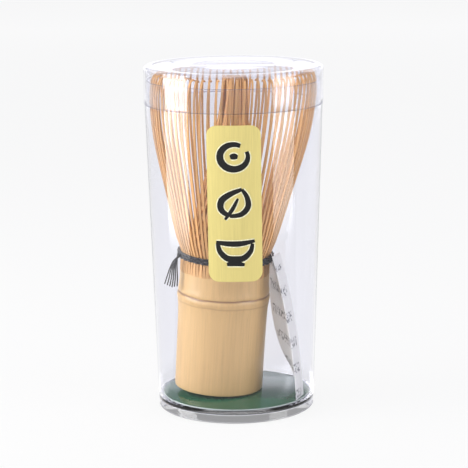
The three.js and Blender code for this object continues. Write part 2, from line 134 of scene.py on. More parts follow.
class CaseSettings(bpy.types.PropertyGroup):
    foot_radius: length(
        "Foot radius", "Outside radius of the tube where it stands",
        reach("case_tube", 0, 1 * MM))
    shoulder_radius: length(
        "Shoulder radius", "Outside radius of the tube under the lid",
        reach("case_tube", 0, top_of("case_tube")))
    shoulder_height: length(
        "Shoulder height", "Where the lid's skirt ends", foot_of("case_lid"))
    rim_height: length("Rim height", "Top of the tube's neck", top_of("case_tube"))
    floor_height: length("Floor height", "Top of the tube's floor", foot_of("base_disc"))
    neck_radius: length(
        "Neck radius", "Outside radius of the drawn-in neck",
        reach("case_tube", top_of("case_tube") - 1 * MM, top_of("case_tube")))
    wall: length("Wall", "Thickness of the tube's wall", 0.8 * MM)
    neck_wall: length("Neck wall", "Thickness of the neck", 0.7 * MM)
    recess: length("Recess", "Hollow under the floor", 3.2 * MM)
    foot_ring: length("Foot ring", "Width of the ring that the tube stands on", 1.9 * MM)
    lid_top: length("Lid top", "Top of the lid", top_of("case_lid"))
    lid_radius: length(
        "Lid radius", "Outside radius of the lid", reach("case_lid", 0, top_of("case_lid")))
    lid_wall: length("Lid wall", "Thickness of the lid's skirt", 0.7 * MM)
    lid_plate: length("Lid plate", "Thickness of the lid's top", 1.1 * MM)
    lid_rim: length("Lid rim", "Width of the raised rim round the lid's top", 2.6 * MM)
    lid_rim_height: length("Lid rim height", "Height of the raised rim", 0.3 * MM)
    lid_ring: length("Lid ring", "Radius of the fine ring on the lid's top", 15.2 * MM)
    tint: colour("Tint", "Faint colour of the clear plastic", (0.978, 0.978, 0.996))
    # Edge: painted shade, the darker see-through colour of the clear plastic at its edges and cut rims
    edge: colour("Edge", "Colour of the clear plastic seen edge on", (0.52, 0.52, 0.60))


class DiscSettings(bpy.types.PropertyGroup):
    radius: length(
        "Radius", "Radius of the disc", reach("base_disc", 0, top_of("base_disc")))
    foot: length("Foot", "Underside of the disc", foot_of("base_disc"))
    top: length("Top", "Upper side of the disc", top_of("base_disc"))
    green: colour("Green", "Colour of the coated board", (0.016, 0.098, 0.046))
    core: colour("Core", "Colour of the board's cut edge", (0.55, 0.62, 0.58))


class LabelSettings(bpy.types.PropertyGroup):
    width: length("Width", "Width round the case", 18.7 * MM)
    foot: length("Foot", "Lower edge", foot_of("front_label") + 0.9 * MM)
    top: length("Top", "Upper edge", top_of("front_label"))
    corner: length("Corner", "Radius of the corners", 3.5 * MM)
    gold: colour("Gold", "Colour of the brushed foil", (0.76, 0.645, 0.24))


class LeafletSettings(bpy.types.PropertyGroup):
    left_page: length("Left page", "Width of the page by the handle", 20 * MM)
    right_page: length("Right page", "Width of the page by the wall", 8 * MM)
    paper: colour("Paper", "Colour of the paper", (0.93, 0.93, 0.92))


class WhiskSettings(bpy.types.PropertyGroup):
    handle_radius: length("Handle radius", "Outside radius of the culm", 16.25 * MM)
    handle_wall: length("Handle wall", "Thickness of the culm's wall", 4.2 * MM)
    node_height: length("Node height", "Height of the growth ring", 35.5 * MM)
    split_height: length("Split height", "Where the culm is first split", 43.4 * MM)
    band_height: length(
        "Band height", "Middle of the thread band", (BAND_LOW + BAND_HIGH) / 2)
    crown_radius: length("Crown radius", "Outer tines at their widest", 29.85 * MM)
    whisk_length: length("Length", "From the foot of the handle to the tips", 116.4 * MM)
    outer_count: IntProperty(
        name="Outer tines", description="Tines round the outside", default=72, min=12)
    inner_count: IntProperty(
        name="Inner tines", description="Tines gathered in the middle", default=64, min=8)
    bamboo: colour("Bamboo", "Colour of the culm's skin", (0.60, 0.385, 0.165))
    tines: colour("Tines", "Colour of the split tines", (0.71, 0.38, 0.135))
    thread: colour("Thread", "Colour of the thread", (0.006, 0.006, 0.008))


class StageSettings(bpy.types.PropertyGroup):
    brightness: FloatProperty(
        name="Brightness", description="Strength of the pale floor", default=0.955, min=0,
        subtype="FACTOR")
    surroundings: colour(
        "Surroundings", "What the gloss of the case reflects", (0.56, 0.56, 0.64))


# ---------- Modelling helpers ----------


def finish_piece(name, bm, materials, body, replaced, sharp=35):
    """Turn a bmesh into a smooth-shaded piece that rides on a body of the frame."""
    mesh = bpy.data.meshes.new(name)
    for face in bm.faces:
        face.smooth = True
    bm.to_mesh(mesh)
    bm.free()
    mesh.set_sharp_from_angle(angle=math.radians(sharp))
    for material in materials:
        mesh.materials.append(material)
    piece = bpy.data.objects.new(name, mesh)
    bpy.context.scene.collection.objects.link(piece)
    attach(piece, body)
    for node in replaced:
        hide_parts(node)
    return piece


def turn_outline(bm, outline, steps):
    """Spin a closed outline of (radius, height) points about the upright axis."""
    points = [bm.verts.new((radius, 0, height)) for radius, height in outline]
    edges = [bm.edges.new(pair) for pair in zip(points, points[1:])]
    if outline[0][0] > 0:
        edges.append(bm.edges.new((points[-1], points[0])))
    bmesh.ops.spin(
        bm, geom=points + edges, cent=(0, 0, 0), axis=(0, 0, 1),
        angle=2 * math.pi, steps=steps, use_merge=True)
    bmesh.ops.remove_doubles(bm, verts=bm.verts, dist=WELD)
    bmesh.ops.dissolve_degenerate(bm, dist=SLIVER, edges=bm.edges)
    bmesh.ops.recalc_face_normals(bm, faces=bm.faces)


def round_ring(bm, radius, height, amount, segments=4):
    """Round the ring edge that runs at a radius and a height."""
    ring = [
        edge for edge in bm.edges
        if all(abs(v.co.xy.length - radius) < NEAR and abs(v.co.z - height) < NEAR
               for v in edge.verts)
    ]
    bmesh.ops.bevel(
        bm, geom=ring, offset=amount, segments=segments, profile=0.5,
        affect="EDGES", material=-1, clamp_overlap=True)


def slice_across(bm, place, normal):
    """Cut every face along a plane, and keep both sides."""
    everything = bm.verts[:] + bm.edges[:] + bm.faces[:]
    bmesh.ops.bisect_plane(bm, geom=everything, plane_co=place, plane_no=normal)


def smooth_path(points, count):
    """Even stations on a smooth curve through points of any size."""
    stations = []
    last = len(points) - 1
    for i in range(count):
        place = last * i / (count - 1)
        start = min(int(place), last - 1)
        t = place - start
        p0, p1 = points[max(start - 1, 0)], points[start]
        p2, p3 = points[start + 1], points[min(start + 2, last)]
        stations.append(
            0.5 * ((2 * p1) + (p2 - p0) * t + (2 * p0 - 5 * p1 + 4 * p2 - p3) * t ** 2
                   + (3 * p1 - p0 - 3 * p2 + p3) * t ** 3))
    return stations


def add_strip(bm, cuts):
    """A unit box cut across its length, whose vertices are then moved into place."""
    known = len(bm.verts)
    box = bmesh.ops.create_cube(bm, size=1)["verts"]
    upright = {
        edge for vertex in box for edge in vertex.link_edges
        if abs(edge.verts[0].co.z - edge.verts[1].co.z) > 0.5
    }
    bmesh.ops.subdivide_edges(bm, edges=list(upright), cuts=cuts, use_grid_fill=True)
    bm.verts.ensure_lookup_table()
    return bm.verts[known:]


def lay_tine(bm, grain, tone, path, heading, width, thickness, tip_share, shade):
    """One split tine along a path of (radius, height), turned to its place round the axis."""
    strip = add_strip(bm, len(path) - 2)
    for vertex in strip:
        across, outward, along = vertex.co.x, vertex.co.y, vertex.co.z + 0.5
        step = min(int(along * (len(path) - 1) + 0.5), len(path) - 1)
        ahead = path[min(step + 1, len(path) - 1)] - path[max(step - 1, 0)]
        ahead.normalize()
        share = 1 + (tip_share - 1) * along
        out = outward * thickness * share
        side = across * width(along) * share
        radius = path[step].x + out * ahead.y
        height = path[step].y - out * ahead.x
        turn = heading(along)
        vertex[grain] = Vector((side + shade, out, height))
        vertex[tone] = shade
        vertex.co = Vector((
            radius * math.cos(turn) - side * math.sin(turn),
            radius * math.sin(turn) + side * math.cos(turn),
            height,
        ))


def lay_strand(bm, points, radius, sides=6):
    """A round strand: a small disc that is extruded from point to point."""
    ahead = (points[1] - points[0]).normalized()
    turn = Vector((0, 0, 1)).rotation_difference(ahead)
    place = Matrix.Translation(points[0]) @ turn.to_matrix().to_4x4()
    ring = bmesh.ops.create_circle(
        bm, cap_ends=True, radius=radius, segments=sides, matrix=place)["verts"]
    cap = next(face for face in ring[0].link_faces if len(face.verts) == sides)
    for i in range(1, len(points)):
        grown = bmesh.ops.extrude_face_region(bm, geom=[cap])["geom"]
        cap = next(item for item in grown if isinstance(item, bmesh.types.BMFace))
        following = (points[min(i + 1, len(points) - 1)] - points[i - 1]).normalized()
        bend = ahead.rotation_difference(following).to_matrix().to_4x4()
        shift = Matrix.Translation(points[i]) @ bend @ Matrix.Translation(-points[i - 1])
        bmesh.ops.transform(bm, matrix=shift, verts=list(cap.verts))
        ahead = following


# ---------- Finishes ----------


def new_finish(name):
    material = bpy.data.materials.new(name)
    material.use_nodes = True
    tree = material.node_tree
    return material, tree, tree.nodes["Principled BSDF"]


def add_node(tree, kind, **settings):
    """A node with its attributes or its sockets set; a socket's spaces are written as _."""
    node = tree.nodes.new(kind)
    for key, value in settings.items():
        if hasattr(node, key):
            setattr(node, key, value)
        else:
            node.inputs[key.replace("_", " ")].default_value = value
    return node


def set_inputs(node, **values):
    for key, value in values.items():
        node.inputs[key.replace("_", " ")].default_value = value


def plug(tree, value, socket):
    """Give a socket its value, which may be another node's output, a number or a colour."""
    if isinstance(value, bpy.types.NodeSocket):
        tree.links.new(value, socket)
    elif socket.type == "RGBA":
        socket.default_value = (*value, 1)
    else:
        socket.default_value = value


def split_axes(tree, vector):
    parts = tree.nodes.new("ShaderNodeSeparateXYZ")
    tree.links.new(vector, parts.inputs["Vector"])
    return parts.outputs


def add_ramp(tree, factor, stops):
    """A colour ramp between stops of (place, colour)."""
    node = tree.nodes.new("ShaderNodeValToRGB")
    ramp = node.color_ramp
    while len(ramp.elements) < len(stops):
        ramp.elements.new(0.5)
    for element, (place, shade) in zip(ramp.elements, stops):
        element.position = place
        element.color = (*shade, 1)
    tree.links.new(factor, node.inputs["Fac"])
    return node.outputs["Color"]


def object_noise(tree, scale, stretch=(1, 1, 1), detail=3.0, source=None):
    """Noise on the piece's own coordinates, stretched along an axis."""
    if source is None:
        source = tree.nodes.new("ShaderNodeTexCoord").outputs["Object"]
    mapping = add_node(tree, "ShaderNodeMapping", Scale=stretch)
    noise = add_node(tree, "ShaderNodeTexNoise", Scale=scale, Detail=detail)
    tree.links.new(source, mapping.inputs["Vector"])
    tree.links.new(mapping.outputs["Vector"], noise.inputs["Vector"])
    return noise.outputs["Fac"]


def add_bump(tree, shader, height, strength, distance):
    bump = add_node(tree, "ShaderNodeBump", Strength=strength, Distance=distance)
    tree.links.new(height, bump.inputs["Height"])
    tree.links.new(bump.outputs["Normal"], shader.inputs["Normal"])


def mix_colour(tree, factor, first, second, blend="MIX"):
    node = tree.nodes.new("ShaderNodeMix")
    node.data_type = "RGBA"
    node.blend_type = blend
    values = {"Factor": factor, "A": first, "B": second}
    for socket in node.inputs:
        if socket.enabled and socket.name in values:
            plug(tree, values[socket.name], socket)
    return next(socket for socket in node.outputs if socket.enabled)


def calculate(tree, operation, first, second=0.0):
    node = add_node(tree, "ShaderNodeMath", operation=operation)
    for socket, value in zip(node.inputs, (first, second)):
        plug(tree, value, socket)
    return node.outputs[0]


def show_mix(tree, factor, first, second):
    """Show a mix of two shaders on the surface."""
    both = tree.nodes.new("ShaderNodeMixShader")
    plug(tree, factor, both.inputs[0])
    tree.links.new(first.outputs[0], both.inputs[1])
    tree.links.new(second.outputs[0], both.inputs[2])
    tree.links.new(both.outputs[0], tree.nodes["Material Output"].inputs["Surface"])


def scaled(shade, share):
    return tuple(min(1.0, part * share) for part in shade)


def tones(tree, noise, shade, darker, lighter):
    """A shade that varies with noise, between two stops of (place, share of the shade)."""
    return add_ramp(tree, noise, [(place, scaled(shade, share)) for place, share in (darker, lighter)])


def clear_wall(name, tint, edge):
    """Thin clear plastic: open to look through and faintly tinted face on, glossy edge on, where its
    see-through colour darkens as painted shade for the dark that real walls bend into view.
    """
    material, tree, shader = new_finish(name)
    tree.nodes.remove(shader)
    facing = add_node(tree, "ShaderNodeLayerWeight", Blend=0.5).outputs["Facing"]
    rising = calculate(tree, "MULTIPLY", calculate(tree, "POWER", facing, 5.0), 0.95)
    shine = calculate(tree, "ADD", rising, 0.04)
    through = tree.nodes.new("ShaderNodeBsdfTransparent")
    # Painted shade: the see-through colour goes from the plastic's faint tint face on to the darker
    # edge colour edge on
    tint_and_edge_shade = add_ramp(tree, facing, [(0.0, tint), (0.88, scaled(tint, 0.975)), (1.0, edge)])
    tree.links.new(tint_and_edge_shade, through.inputs["Color"])
    gloss = add_node(
        tree, "ShaderNodeBsdfAnisotropic", Color=(1, 1, 1, 1), Roughness=0.03)
    flow = object_noise(tree, 60, (1, 1, 0.25), detail=1)
    add_bump(tree, gloss, flow, 0.1, 0.2 * MM)
    show_mix(tree, shine, through, gloss)
    return material


def clear_rim(name, edge):
    """Cut rims and steps of the clear plastic, which catch more light than its walls; their see-through
    colour is painted shade that draws them as darker lines.
    """
    material, tree, shader = new_finish(name)
    tree.nodes.remove(shader)
    # Painted shade: the rims are seen through in the darker edge colour
    through = add_node(tree, "ShaderNodeBsdfTransparent", Color=(*edge, 1))
    gloss = add_node(
        tree, "ShaderNodeBsdfAnisotropic", Color=(0.96, 0.96, 1, 1), Roughness=0.12)
    wear = object_noise(tree, 700, detail=2)
    add_bump(tree, gloss, wear, 0.3, 0.1 * MM)
    shine = tones(tree, wear, (1, 1, 1), (0.3, 0.2), (0.7, 0.5))
    show_mix(tree, shine, through, gloss)
    return material


def clear_block(name, tint):
    """Thick clear plastic that bends what is seen through it; lamps shine through it."""
    material, tree, shader = new_finish(name)
    set_inputs(shader, Base_Color=(*tint, 1), Transmission_Weight=1, IOR=1.5, Roughness=0.06)
    flow = object_noise(tree, 60, (1, 1, 0.25), detail=1)
    add_bump(tree, shader, flow, 0.05, 0.2 * MM)
    shadow = tree.nodes.new("ShaderNodeLightPath").outputs["Is Shadow Ray"]
    open_way = add_node(tree, "ShaderNodeBsdfTransparent", Color=(*tint, 1))
    show_mix(tree, shadow, shader, open_way)
    return material


def coated_board(name, shade, roughness):
    """Board with a faint mottle: its glossy green film, or its pale cut edge and back."""
    material, tree, shader = new_finish(name)
    mottle = object_noise(tree, 900, detail=4)
    mottled = tones(tree, mottle, shade, (0.3, 0.9), (0.7, 1.15))
    tree.links.new(mottled, shader.inputs["Base Color"])
    set_inputs(shader, Roughness=roughness, Specular_IOR_Level=0.4)
    add_bump(tree, shader, mottle, 0.06, 0.02 * MM)
    return material


def brushed_foil(gold):
    """Pale gold foil with fine lines brushed up and down."""
    material, tree, shader = new_finish("gold_foil")
    lines = object_noise(tree, 2600, (1, 1, 0.02), detail=2)
    patches = object_noise(tree, 110, (1, 1, 0.5), detail=2)
    fine = tones(tree, lines, gold, (0.3, 0.93), (0.7, 1.1))
    shade = mix_colour(tree, patches, fine, scaled(gold, 1.12))
    tree.links.new(shade, shader.inputs["Base Color"])
    set_inputs(shader, Metallic=0.55, Roughness=0.42)
    add_bump(tree, shader, lines, 0.12, 0.02 * MM)
    return material


def printed_ink(name, shade, roughness):
    """Print on the foil, dense with a slightly dry brush grain."""
    material, tree, shader = new_finish(name)
    dry = object_noise(tree, 1800, (1, 1, 0.4), detail=3)
    tree.links.new(tones(tree, dry, shade, (0.25, 0.7), (0.8, 1.25)), shader.inputs["Base Color"])
    set_inputs(shader, Roughness=roughness)
    add_bump(tree, shader, dry, 0.1, 0.01 * MM)
    return material


def printed_paper(paper):
    """Thin white paper with plain rows and blocks of grey print, set out on its own map."""
    material, tree, shader = new_finish("printed_paper")
    page = add_node(tree, "ShaderNodeUVMap", uv_map="page").outputs["UV"]
    across, up, _ = split_axes(tree, page)
    row = calculate(tree, "FRACT", calculate(tree, "MULTIPLY", up, 5.6))
    in_row = calculate(tree, "LESS_THAN", row, 0.38)
    broken = object_noise(tree, 3.0, (9, 13, 1), detail=2, source=page)
    written = calculate(tree, "GREATER_THAN", broken, 0.54)
    print_here = calculate(tree, "MULTIPLY", in_row, written)
    margins = (("GREATER_THAN", across, 0.08), ("LESS_THAN", across, 0.93), ("LESS_THAN", up, 0.93))
    for side, place, limit in margins:
        inside = calculate(tree, side, place, limit)
        print_here = calculate(tree, "MULTIPLY", print_here, inside)
    fibre = object_noise(tree, 2200, detail=3)
    base = tones(tree, fibre, paper, (0.2, 0.96), (0.8, 1.03))
    faint = calculate(tree, "MULTIPLY", print_here, 0.8)
    shade = mix_colour(tree, faint, base, (0.16, 0.16, 0.19))
    tree.links.new(shade, shader.inputs["Base Color"])
    set_inputs(shader, Roughness=0.6)
    add_bump(tree, shader, fibre, 0.15, 0.02 * MM)
    glow = tree.nodes.new("ShaderNodeBsdfTranslucent")
    tree.links.new(shade, glow.inputs["Color"])
    show_mix(tree, 0.5, shader, glow)
    return material


def band_of(tree, offset, peak, width):
    """A soft band: its peak where the offset is nought, fading to nothing over the width."""
    distance = calculate(tree, "ABSOLUTE", offset)
    band = calculate(tree, "SUBTRACT", peak, calculate(tree, "DIVIDE", distance, width))
    return calculate(tree, "MAXIMUM", band, 0.0)


def bamboo_skin(shade, node_height):
    """Smooth culm skin: long fibre streaks, fine scratches, a brown line at the node."""
    material, tree, shader = new_finish("bamboo_skin")
    grain = add_node(tree, "ShaderNodeAttribute", attribute_name="grain").outputs["Vector"]
    fibres = object_noise(tree, 1500, (1, 1, 0.03), detail=3, source=grain)
    clouds = object_noise(tree, 120, (1, 1, 0.5), detail=3, source=grain)
    flecks = object_noise(tree, 2600, (1, 1, 0.14), detail=2, source=grain)
    streak = add_ramp(tree, fibres, [
        (0.28, scaled(shade, 0.88)), (0.52, shade), (0.75, scaled(shade, 1.07))])
    cloudy = mix_colour(tree, calculate(tree, "MULTIPLY", clouds, 0.45), streak, (0.70, 0.46, 0.19))
    fleck = calculate(tree, "GREATER_THAN", flecks, 0.72)
    specked = mix_colour(tree, calculate(tree, "MULTIPLY", fleck, 0.25), cloudy, scaled(shade, 0.5))
    wander = calculate(tree, "MULTIPLY", clouds, 0.9 * MM)
    height = calculate(tree, "ADD", split_axes(tree, grain)["Z"], wander)
    offset = calculate(tree, "SUBTRACT", height, node_height + 0.45 * MM)
    line = band_of(tree, offset, 1.0, 0.55 * MM)
    faint = band_of(tree, calculate(tree, "ADD", offset, 3.1 * MM), 0.45, 1.1 * MM)
    ringed = mix_colour(tree, faint, specked, (0.34, 0.19, 0.075))
    browned = mix_colour(tree, line, ringed, (0.22, 0.11, 0.05))
    tree.links.new(browned, shader.inputs["Base Color"])
    set_inputs(shader, Roughness=0.42, Coat_Weight=0.25, Coat_Roughness=0.3)
    add_bump(tree, shader, fibres, 0.35, 0.05 * MM)
    return material


def split_bamboo(name, shade, painted_root_shade):
    """Split tines, each a little lighter or darker than the next, with their grain along them, and
    painted shade darkening them towards their roots.
    """
    material, tree, shader = new_finish(name)
    grain = add_node(tree, "ShaderNodeAttribute", attribute_name="grain").outputs["Vector"]
    tone = add_node(tree, "ShaderNodeAttribute", attribute_name="tone").outputs["Fac"]
    fibres = object_noise(tree, 2600, (1, 1, 0.04), detail=2, source=grain)
    each = add_ramp(tree, tone, [
        (0.0, scaled(shade, 0.82)), (0.5, shade), (1.0, scaled(shade, 1.22))])
    streak = add_ramp(tree, fibres, [(0.3, (0.82, 0.80, 0.76)), (0.7, (1, 1, 1))])
    grained = mix_colour(tree, 1.0, each, streak, "MULTIPLY")
    # Painted shade: the tines darken towards their roots, deep in the whisk
    above_root = calculate(tree, "SUBTRACT", split_axes(tree, grain)["Z"], 42 * MM)
    rise = calculate(tree, "DIVIDE", above_root, 60 * MM)
    lift = add_ramp(tree, rise, [(0.0, painted_root_shade), (0.35, (1, 1, 1))])
    final = mix_colour(tree, 1.0, grained, lift, "MULTIPLY")
    tree.links.new(final, shader.inputs["Base Color"])
    set_inputs(shader, Roughness=0.5)
    add_bump(tree, shader, fibres, 0.3, 0.04 * MM)
    return material


def twisted_thread(shade):
    """Black twisted cotton: its plies catch a little sheen."""
    material, tree, shader = new_finish("black_thread")
    plies = object_noise(tree, 3200, (1, 1, 1.6), detail=2)
    tree.links.new(tones(tree, plies, shade, (0.35, 1), (0.75, 3.5)), shader.inputs["Base Color"])
    set_inputs(shader, Roughness=0.6, Sheen_Weight=0.15)
    add_bump(tree, shader, plies, 0.6, 0.1 * MM)
    return material


# ---------- Operators: one for each piece ----------

# Facets round a full turn
CASE_STEPS = 160
DISC_STEPS = 128
CULM_STEPS = 120
ROOT_STEPS = 72
THREAD_STEPS = 288


# A face of the tube that lies flatter than this is a cut rim, not a wall
RIM_SLOPE = 0.6
# The tint of the tube's thick floor, as a share of its thin wall's: deeper for its thickness, and
# darker still as painted shade for the contact shadow under the foot
FLOOR_TINT_AND_SHADE = 0.8


class TEAWHISK_OT_case_tube(bpy.types.Operator):
    """Spin the clear tube, with its foot ring, floor and drawn-in neck"""

    bl_idname = "tea_whisk.case_tube"
    bl_label = "Clear Tube"

    def execute(self, context):
        case = context.scene.tea_case
        draft = (case.shoulder_radius - case.foot_radius) / case.shoulder_height
        inner_low = case.foot_radius + draft * case.floor_height - case.wall
        neck_in = case.neck_radius - case.neck_wall
        inner_high = case.shoulder_radius - case.wall - draft * 2 * case.neck_wall
        ring_in = case.foot_radius - case.foot_ring
        bm = bmesh.new()
        turn_outline(bm, [
            (0, case.recess),
            (ring_in, case.recess),
            (ring_in, 0),
            (case.foot_radius, 0),
            (case.shoulder_radius, case.shoulder_height),
            (case.neck_radius, case.shoulder_height),
            (case.neck_radius, case.rim_height),
            (neck_in, case.rim_height),
            (neck_in, case.shoulder_height - case.neck_wall),
            (inner_high, case.shoulder_height - 2 * case.neck_wall),
            (inner_low, case.floor_height),
            (0, case.floor_height),
        ], CASE_STEPS)
        for radius, height, rounding, segments in (
            (case.foot_radius, 0, 0.8 * MM, 4),
            (ring_in, 0, 0.4 * MM, 3),
            (ring_in, case.recess, 0.6 * MM, 3),
            (inner_low, case.floor_height, 0.8 * MM, 4),
            (case.neck_radius, case.rim_height, 0.25 * MM, 3),
            (neck_in, case.rim_height, 0.25 * MM, 3),
            (case.shoulder_radius, case.shoulder_height, 0.2 * MM, 2),
        ):
            round_ring(bm, radius, height, rounding, segments)
        slice_across(bm, (0, 0, case.floor_height), (0, 0, 1))
        for face in bm.faces:
            if face.calc_center_median().z < case.floor_height + NEAR:
                face.material_index = 1
            elif abs(face.normal.z) > RIM_SLOPE:
                face.material_index = 2
        wall = clear_wall("clear_tube_wall", case.tint, case.edge)
        # The floor's darker tint is partly painted shade under the foot
        block = clear_block("clear_tube_floor", scaled(case.tint, FLOOR_TINT_AND_SHADE))
        rim = clear_rim("clear_tube_rim", case.edge)
        finish_piece("tube", bm, [wall, block, rim], "case", ["case_tube"])
        return {"FINISHED"}


class TEAWHISK_OT_case_lid(bpy.types.Operator):
    """Spin the clear lid, with the raised rim and fine ring on its top"""

    bl_idname = "tea_whisk.case_lid"
    bl_label = "Clear Lid"

    def execute(self, context):
        case = context.scene.tea_case
        inside = case.lid_radius - case.lid_wall
        plate_top = case.lid_top - case.lid_rim_height
        underside = plate_top - case.lid_plate
        rim_in = case.lid_radius - case.lid_rim
        ring, ring_half, ring_height = case.lid_ring, 0.45 * MM, 0.25 * MM
        bm = bmesh.new()
        turn_outline(bm, [
            (0, underside),
            (inside, underside),
            (inside, case.shoulder_height),
            (case.lid_radius, case.shoulder_height),
            (case.lid_radius, case.lid_top),
            (rim_in, case.lid_top),
            (rim_in - case.lid_rim_height, plate_top),
            (ring + ring_half, plate_top),
            (ring, plate_top + ring_height),
            (ring - ring_half, plate_top),
            (0, plate_top),
        ], CASE_STEPS)
        edge_rounding = 0.2 * MM
        for radius, height, rounding, segments in (
            (case.lid_radius, case.lid_top, 1.2 * MM, 5),
            (inside, underside, 0.8 * MM, 4),
            (case.lid_radius, case.shoulder_height, edge_rounding, 2),
            (rim_in, case.lid_top, 0.15 * MM, 2),
        ):
            round_ring(bm, radius, height, rounding, segments)
        for face in bm.faces:
            if face.calc_center_median().z < case.shoulder_height + 1.5 * edge_rounding:
                face.material_index = 1
        wall = clear_wall("clear_lid_wall", case.tint, case.edge)
        rim = clear_rim("clear_lid_rim", case.edge)
        finish_piece("lid", bm, [wall, rim], "lid", ["case_lid"])
        return {"FINISHED"}


class TEAWHISK_OT_base_disc(bpy.types.Operator):
    """Cut the dark green disc that lies on the case's floor"""

    bl_idname = "tea_whisk.base_disc"
    bl_label = "Green Disc"

    def execute(self, context):
        disc = context.scene.tea_disc
        bm = bmesh.new()
        underside = disc.foot + 0.02 * MM
        turn_outline(bm, [
            (0, underside),
            (disc.radius, underside),
            (disc.radius, disc.top),
            (0, disc.top),
        ], DISC_STEPS)
        round_ring(bm, disc.radius, disc.top, 0.12 * MM, 2)
        for face in bm.faces:
            if face.normal.z < 0.5:
                face.material_index = 1
        film = coated_board("green_film", disc.green, 0.16)
        core = coated_board("board_core", disc.core, 0.6)
        finish_piece("disc", bm, [film, core], "case", ["base_disc"])
        return {"FINISHED"}


def on_wall(case, x, z, lift):
    """A point on the tube's front wall, this far off it."""
    draft = (case.shoulder_radius - case.foot_radius) / case.shoulder_height
    radius = case.foot_radius + draft * z + lift
    return Vector((x, -math.sqrt(radius ** 2 - x ** 2), z))


def add_ribbon(bm, path, widths, material):
    """A flat brush stroke: an edge drawn along a path, narrowing at its ends."""
    sides = []
    for i, point in enumerate(path):
        ahead = path[min(i + 1, len(path) - 1)] - path[max(i - 1, 0)]
        across = Vector((-ahead.y, ahead.x)).normalized() * widths[i] / 2
        sides.append((point + across, point - across))
    ends = [bm.verts.new((side.x, 0, side.y)) for side in sides[0]]
    edge = bm.edges.new(ends)
    for pair in sides[1:]:
        grown = bmesh.ops.extrude_edge_only(bm, edges=[edge])["geom"]
        edge = next(item for item in grown if isinstance(item, bmesh.types.BMEdge))
        fresh = [item for item in grown if isinstance(item, bmesh.types.BMVert)]
        ends = [
            next(v for v in fresh if any(e.other_vert(v) is end for e in v.link_edges))
            for end in ends
        ]
        for end, side in zip(ends, pair):
            end.co = (side.x, 0, side.y)
        for face in edge.link_faces:
            face.material_index = material


def stroke(*points):
    return [Vector(point) for point in points]


def brush_marks():
    """Three plain marks down the label, in millimetres: a ring, a leaf and a bowl.

    Each is a list of strokes with the brush's width.
    """
    start, turn, stations = 62, 322, 18
    angles = [math.radians(start + turn * i / stations) for i in range(stations + 1)]
    ring = [Vector((1.12 * math.cos(angle), math.sin(angle))) * 4.3 for angle in angles]
    dot = stroke((-1.3, -0.2), (0, 0.15), (1.3, -0.1))
    leaf_left = stroke((-1.8, -4.4), (-4.6, -2.2), (-4.5, 1.0), (-1.4, 3.4), (2.6, 5.0))
    leaf_right = stroke((-1.8, -4.4), (2.2, -3.8), (4.6, -1.2), (4.3, 2.2), (2.6, 5.0))
    vein = stroke((-3.4, -5.6), (-0.8, -2.0), (1.2, 1.8))
    bowl = stroke(
        (-6.0, 2.2), (-5.3, -0.6), (-2.9, -2.9), (0, -3.3), (2.9, -2.9), (5.3, -0.6), (6.0, 2.2))
    rim = stroke((-6.6, 2.7), (-2.0, 2.2), (2.4, 2.3), (6.8, 3.1))
    foot = stroke((-3.0, -5.1), (0, -4.8), (3.2, -5.3))
    return [
        [(ring, 2.5), (dot, 2.2)],
        [(leaf_left, 2.3), (leaf_right, 2.0), (vein, 1.4)],
        [(bowl, 2.3), (rim, 2.0), (foot, 1.9)],
    ]


# The label is stuck on a little crooked: sideways for each step up
LABEL_TILT = -0.006
FOIL_THICKNESS = 0.12 * MM
FOIL_LIFT = 0.03 * MM            # off the tube's wall
MARK_SPACING = 16.4 * MM         # from one mark's middle to the next
MARK_RISE = 0.3 * MM             # the middle mark over the label's middle
# The print's layers: material, lift off the foil, how much wider than the brush in millimetres
PRINT_LAYERS = ((1, 0.02 * MM, 0.75), (2, 0.045 * MM, 0.0))


